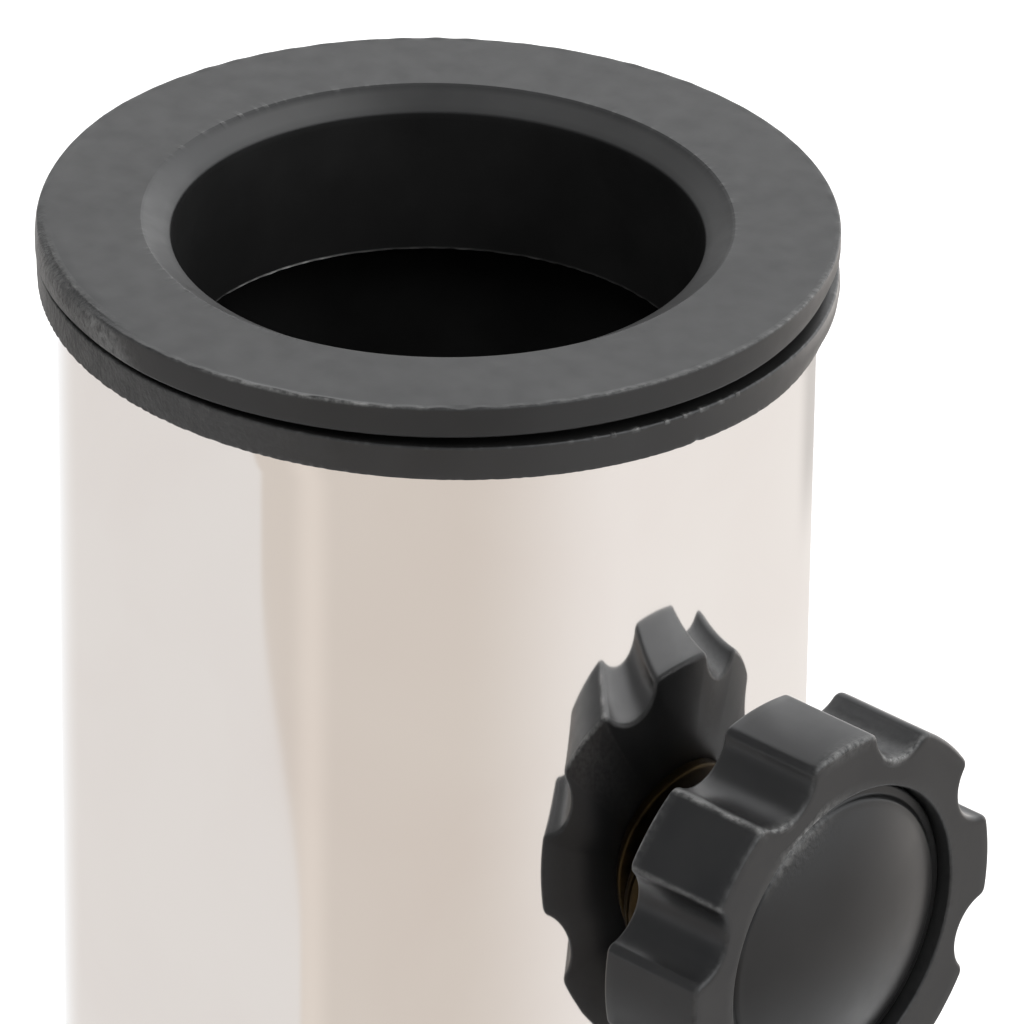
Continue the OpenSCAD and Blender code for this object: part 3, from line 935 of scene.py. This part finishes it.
def make_knob_body():
    """Rings from the back edge up the lobes, over the face and down the recess and nut pocket to the bore."""
    outline = knob_outline()
    around_knob = np.arctan2(outline[:, 1], outline[:, 0])
    count = len(outline)

    def lobed(inset, height):
        return np.stack([outline[:, 0] - inset * np.cos(outline[:, 2]),
                         outline[:, 1] - inset * np.sin(outline[:, 2]), np.full(count, height)], -1)

    def round_ring(r, height):
        return np.stack([r * np.cos(around_knob), r * np.sin(around_knob), np.full(count, height)], -1)

    def hex_ring(across, height):
        return round_ring(hexagon(around_knob, across), height)

    soft, recess_soft, pocket_floor = 0.42, 0.22, 3.4
    quarter = np.radians(np.linspace(0, 90, 7))
    rings = []
    for t in quarter:
        rings.append(lobed(soft * (1 - math.sin(t)), soft * (1 - math.cos(t))))
    for h in np.linspace(soft, KNOB_H - soft, 12)[1:-1]:
        rings.append(lobed(0, h))
    for t in quarter:
        rings.append(lobed(soft * (1 - math.cos(t)), KNOB_H - soft * (1 - math.sin(t))))
    for t in np.linspace(0, 1, 6)[1:-1]:
        rings.append(lobed(soft, KNOB_H) * (1 - t) + round_ring(12.6, KNOB_H) * t)
    for t in quarter:
        drop = recess_soft * (1 - math.cos(t))
        rings.append(round_ring(RECESS_R + recess_soft * (1 - math.sin(t)), KNOB_H - drop))
    rings += [round_ring(RECESS_R, 7.8), round_ring(RECESS_R, RECESS_FLOOR)]
    rings += [hex_ring(13.5, RECESS_FLOOR), hex_ring(13.2, 6.65), hex_ring(13.2, pocket_floor)]
    rings += [round_ring(4.4, pocket_floor), round_ring(4.1, 3.1), round_ring(4.1, 0.3), round_ring(4.4, 0.0)]
    faces = grid_faces(len(rings), count, True)
    knob = on_clamp_axis((np.vstack(rings), faces), KNOB_BACK)
    plastic = black_plastic("knob_plastic", KNOB_BLACK, (0.011,) * 3, 0.3, 0.38, 0.002, ior=1.42)
    piece("knob_body", [knob], "knob", plastic, 50, knob_masks(outline))


def make_knob_cap():
    """A disc in the recess with a low spherical crown inside a stepped rim."""
    brim, rim, crown_h = 1.05, 10.8, 2.0
    sphere_r = (rim ** 2 + crown_h ** 2) / (2 * crown_h)
    base = brim + 0.45 + crown_h - sphere_r
    crown = [(r, base + math.sqrt(sphere_r ** 2 - r ** 2)) for r in np.linspace(rim, 0, 25)]
    side = [(11.9, 0.0), (12.13, 0.15), (12.15, 0.4)]
    side += [(12.15, brim - 0.15), (12.05, brim - 0.02), (11.9, brim), (11.45, brim)]
    step = [(11.3, 0.04), (11.18, 0.18), (11.02, 0.36), (10.9, 0.43)]
    side += [(r, brim + rise) for r, rise in step]
    cap = turned([(0, 0)] + side + crown, 720, False)
    shiny = black_plastic("cap_plastic", (0.005,) * 3, (0.008,) * 3, 0.29, 0.35, 0.0008, ior=1.43)

    def masks(x, y, z):
        r, a = np.hypot(y, z - CLAMP_Z), np.arctan2(z - CLAMP_Z, y)
        patch = beside(a, 116, 30)
        return {"wear": 0.75 * patch * smooth(r, 10.2, 11.4), "pitted": 0.5 * patch * smooth(r, 8.5, 10.5)}

    piece("knob_cap", [on_clamp_axis(cap, KNOB_BACK + RECESS_FLOOR)], "knob", shiny, 50, masks)


def make_clamp_screw(zinc_painted_shade):
    steps, head_from, head_to = 72, 16, 19.2
    neck = [(4.0, 15.7), (4.25, head_from)]
    head = chamfered_hex(steps, M8_ACROSS, head_from, head_to)
    rings = [(0, 0)] + thread(steps, 0, 15.4) + neck + head + [(0, head_to)]
    piece("clamp_screw", [on_clamp_axis(turned(rings, steps, False), 20.1)], "knob", zinc_painted_shade, 28)


def make_clamp_washer(zinc_painted_shade):
    washer = turned(washer_rings(8, 4.2, 0, 1.2), 120)
    piece("clamp_washer", [on_clamp_axis(washer, 31.45)], "clamp_carriage", zinc_painted_shade)


def make_clamp_nut(zinc_painted_shade):
    """A rivet nut: a sleeve through the tube's wall, a flange that follows the tube, and a threaded bore."""
    steps, inner_end, bore_r, sleeve_r = 144, 25.2, 4.05, 5.5
    a = angles(steps)

    def saddle(r, off):
        return (r, np.sqrt((TUBE_R + off) ** 2 - (r * np.cos(a)) ** 2))

    rings = [(bore_r, inner_end), (4.25, 25), (5.2, 25), (sleeve_r, 25.3), (sleeve_r, 26.5), (sleeve_r, 28.2)]
    flange = [(sleeve_r, 0.02), (6.8, 0.02), (7.9, 0.02), (8.15, 0.15), (8.2, 0.4), (8.2, 0.8)]
    flange += [(8.05, 1.08), (7.7, 1.2), (6.8, 1.2), (5.2, 1.2), (4.4, 1.2), (bore_r, 0.95)]
    rings += [saddle(r, off) for r, off in flange]
    outer_end = rings[-1][1]
    count = 52
    for k in range(1, count):
        x = outer_end + (inner_end - outer_end) * k / count
        fade = math.sin(math.pi * k / count) ** 0.3
        rings.append((bore_r + 0.3 * thread_crest(x, a) * fade, x))
    piece("clamp_nut", [on_clamp_axis(turned(rings, steps), 0)], "base", zinc_painted_shade, 32)


# -------- stage

# The reflector card, with directions in degrees to the right of the camera's side
LEFT_LIGHT = (0.78, 0.74, 0.71)
FRONT_LIGHT = (0.68, 0.61, 0.55)
RIGHT_LIGHT = (0.88, 0.83, 0.79)
BACK_LIGHT = (1.0, 1.0, 1.0)
PANEL_EDGE, PANEL_SLANT = -53, 13
STRIP_AT, STRIP_WIDTH, STRIP_GAIN = -37, 8, 0.12
BAND_LOSS, BACK_GLARE = 0.25, 3.0

# The surround
WORLD_BASE, BACK_GAIN, KEY_GAIN, SIDE_GAIN = 0.45, 1.2, 2.0, 1.15


def blend(low, high, share):
    """Mix of two lights by a share at each point."""
    share = share[..., None]
    return np.asarray(low) * (1 - share) + np.asarray(high) * share


def card_light(azimuth, r):
    """A warm card in front with one paler strip, lighter to the right, a panel at the left, white behind."""
    front = blend(FRONT_LIGHT, RIGHT_LIGHT, smooth(azimuth, 5, 60))
    strip = smooth(1 - np.abs(azimuth - STRIP_AT) / STRIP_WIDTH, 0, 1)
    front *= 1 + STRIP_GAIN * strip[..., None]
    edge = PANEL_EDGE + PANEL_SLANT * smooth(-r, -690, -590)
    card = blend(LEFT_LIGHT, front, smooth(azimuth, edge - 1.0, edge + 1.0))
    behind = smooth(-azimuth, 138, 172) + smooth(azimuth, 166, 178)
    card = blend(card, BACK_LIGHT, behind)
    band = smooth(azimuth, 140, 156) * smooth(-azimuth, -180, -165) * smooth(r, 655, 690)
    far = smooth(r, 770, 900) * (smooth(azimuth, 95, 135) + 0.6 * smooth(-azimuth, 125, 165))
    card *= (1 - BAND_LOSS * band + (BACK_GLARE - 1) * far)[..., None]
    return blend(BACK_LIGHT, card, smooth(r, 385, 560))


def make_reflector():
    """A toned card at floor height that only reflections see: it gives the mirror tube its soft bands."""
    height = 1.0
    r = np.concatenate([np.linspace(380, 540, 9)[:-1], np.linspace(540, 760, 45), np.linspace(800, 2600, 12)])
    azimuth = np.linspace(-180, 180, 721)[:-1]
    a = np.radians(azimuth) + CAMERA_SIDE
    points = np.stack([r[:, None] * np.cos(a), r[:, None] * np.sin(a), np.full((len(r), len(a)), height)], -1)
    mesh = bpy.data.meshes.new("reflector")
    mesh.from_pydata((points.reshape(-1, 3) * MM).tolist(), [], grid_faces(len(r), len(a), False))
    tone = card_light(*np.broadcast_arrays(azimuth, r[:, None]))
    rgba = np.concatenate([tone, np.ones((*tone.shape[:2], 1))], -1).reshape(-1)
    layer = mesh.color_attributes.new("tone", "FLOAT_COLOR", "POINT")
    layer.data.foreach_set("color", rgba.astype(np.float32))
    obj = linked("reflector", mesh)
    material = bpy.data.materials.new("reflector")
    material.use_nodes = True
    tree = material.node_tree
    tree.nodes.clear()
    glow = tree.nodes.new("ShaderNodeEmission")
    tone_node = tree.nodes.new("ShaderNodeAttribute")
    tone_node.attribute_name = "tone"
    output = tree.nodes.new("ShaderNodeOutputMaterial")
    tree.links.new(tone_node.outputs["Color"], glow.inputs["Color"])
    tree.links.new(glow.outputs["Emission"], output.inputs["Surface"])
    mesh.materials.append(material)
    obj.visible_camera = False
    obj.visible_diffuse = False
    obj.visible_shadow = False
    obj.visible_transmission = False


def make_floor():
    steps, radii = 96, [0, 500, 2000, 8000, 40000]
    mesh = mesh_of("floor", [turned([(r, 0) for r in radii], steps, False)])
    floor = linked("floor", mesh)
    f = Finish("floor", (0.82, 0.82, 0.82), 0.9)
    f.shader.inputs["Specular IOR Level"].default_value = 0.0
    f.color(f.mix(f.spread(f.noise(0.004), 0.3, 0.7), (0.82, 0.82, 0.82), (0.83, 0.83, 0.83)))
    mesh.materials.append(f.material)


def make_world():
    """Studio surround: soft grey, a broad light behind the stand, and a key and a side light at the right."""
    world = bpy.data.worlds.new("studio")
    bpy.context.scene.world = world
    world.use_nodes = True
    tree = world.node_tree
    position = tree.nodes.new("ShaderNodeTexCoord")

    def soft_box(azimuth, elevation, reach, core, gain):
        """Light added round one direction: full within `core` degrees of it, none past `reach`."""
        a, e = math.radians(azimuth) + CAMERA_SIDE, math.radians(elevation)
        dot = tree.nodes.new("ShaderNodeVectorMath")
        dot.operation = "DOT_PRODUCT"
        dot.inputs[1].default_value = (math.cos(a) * math.cos(e), math.sin(a) * math.cos(e), math.sin(e))
        tree.links.new(position.outputs["Generated"], dot.inputs[0])
        level = tree.nodes.new("ShaderNodeMapRange")
        level.interpolation_type = "SMOOTHSTEP"
        level.inputs["From Min"].default_value = math.cos(math.radians(reach))
        level.inputs["From Max"].default_value = math.cos(math.radians(core))
        level.inputs["To Max"].default_value = gain
        tree.links.new(dot.outputs["Value"], level.inputs["Value"])
        return level.outputs["Result"]

    total = tree.nodes.new("ShaderNodeMath")
    total.inputs[1].default_value = WORLD_BASE
    tree.links.new(soft_box(163, 33, 52, 14, BACK_GAIN), total.inputs[0])
    for box in (soft_box(62, 32, 38, 16, KEY_GAIN), soft_box(122, 12, 46, 18, SIDE_GAIN)):
        sum_so_far = total
        total = tree.nodes.new("ShaderNodeMath")
        tree.links.new(sum_so_far.outputs[0], total.inputs[0])
        tree.links.new(box, total.inputs[1])
    tree.links.new(total.outputs[0], tree.nodes["Background"].inputs["Strength"])
    tree.nodes["Background"].inputs["Color"].default_value = (1, 1, 1, 1)


def make_lights():
    sun = bpy.data.lights.new("overhead", "SUN")
    sun.energy = 2.6
    sun.angle = math.radians(70)
    obj = linked("overhead", sun)
    obj.rotation_euler = (math.radians(12), math.radians(8), 0)
    obj.visible_glossy = False


def make_camera():
    """The viewpoint is in units of the tube's radius: high in front of the stand, with a very long lens."""
    yaw, pitch, roll = 0.00829, 0.51747, 0.01265
    distance, height = 24.5108, 13.0647
    ahead = Vector((math.sin(yaw) * math.cos(pitch), math.cos(yaw) * math.cos(pitch), -math.sin(pitch)))
    right = Vector((math.cos(yaw), -math.sin(yaw), 0))
    up = right.cross(ahead)
    turned_right = right * math.cos(roll) + up * math.sin(roll)
    turned_up = up * math.cos(roll) - right * math.sin(roll)
    spin = Matrix.Rotation(RIGHT_AZIMUTH, 3, "Z")
    facing = spin @ Matrix((turned_right, turned_up, -ahead)).transposed()
    data = bpy.data.cameras.new("camera")
    data.lens = 372.8
    data.sensor_width = 36
    data.clip_start, data.clip_end = 0.05, 200
    camera = linked("camera", data)
    back = spin @ Vector((0, -distance * TUBE_R * MM, 0))
    lift = Vector((0, 0, (TOP + height * TUBE_R) * MM))
    camera.matrix_world = Matrix.Translation(back + lift) @ facing.to_4x4()
    bpy.context.scene.camera = camera


make_slab()
make_feet()
make_flange_gasket()
make_foot_flange()
make_tube_weld()
make_pole_rest()
make_cover_rosette()
make_rosette_ring()
make_tube()
make_inner_reducer()
make_outer_reducer()
make_knob_body()
make_knob_cap()
# Painted shade: the yellow zinc's base and blotch colours are darkened to a near-black brown for the shade in
# the gap behind the knob.
YELLOW_ZINC_PAINTED_SHADE = plated_zinc("yellow_zinc", (0.016, 0.0115, 0.006), 0.46, (0.045, 0.03, 0.012))
make_clamp_screw(YELLOW_ZINC_PAINTED_SHADE)
make_clamp_washer(YELLOW_ZINC_PAINTED_SHADE)
make_clamp_nut(YELLOW_ZINC_PAINTED_SHADE)
SILVER_ZINC = plated_zinc("zinc_steel", (0.62, 0.63, 0.65), 0.28, (0.5, 0.52, 0.56))
make_flange_bolts(SILVER_ZINC)
make_flat_washers(SILVER_ZINC)
make_lock_washers(SILVER_ZINC)
make_stone_anchors(SILVER_ZINC)
make_foot_screws(SILVER_ZINC)
make_foot_dowels()
make_floor()
make_reflector()
make_world()
make_lights()
make_camera()
bpy.context.scene.view_settings.view_transform = "Standard"
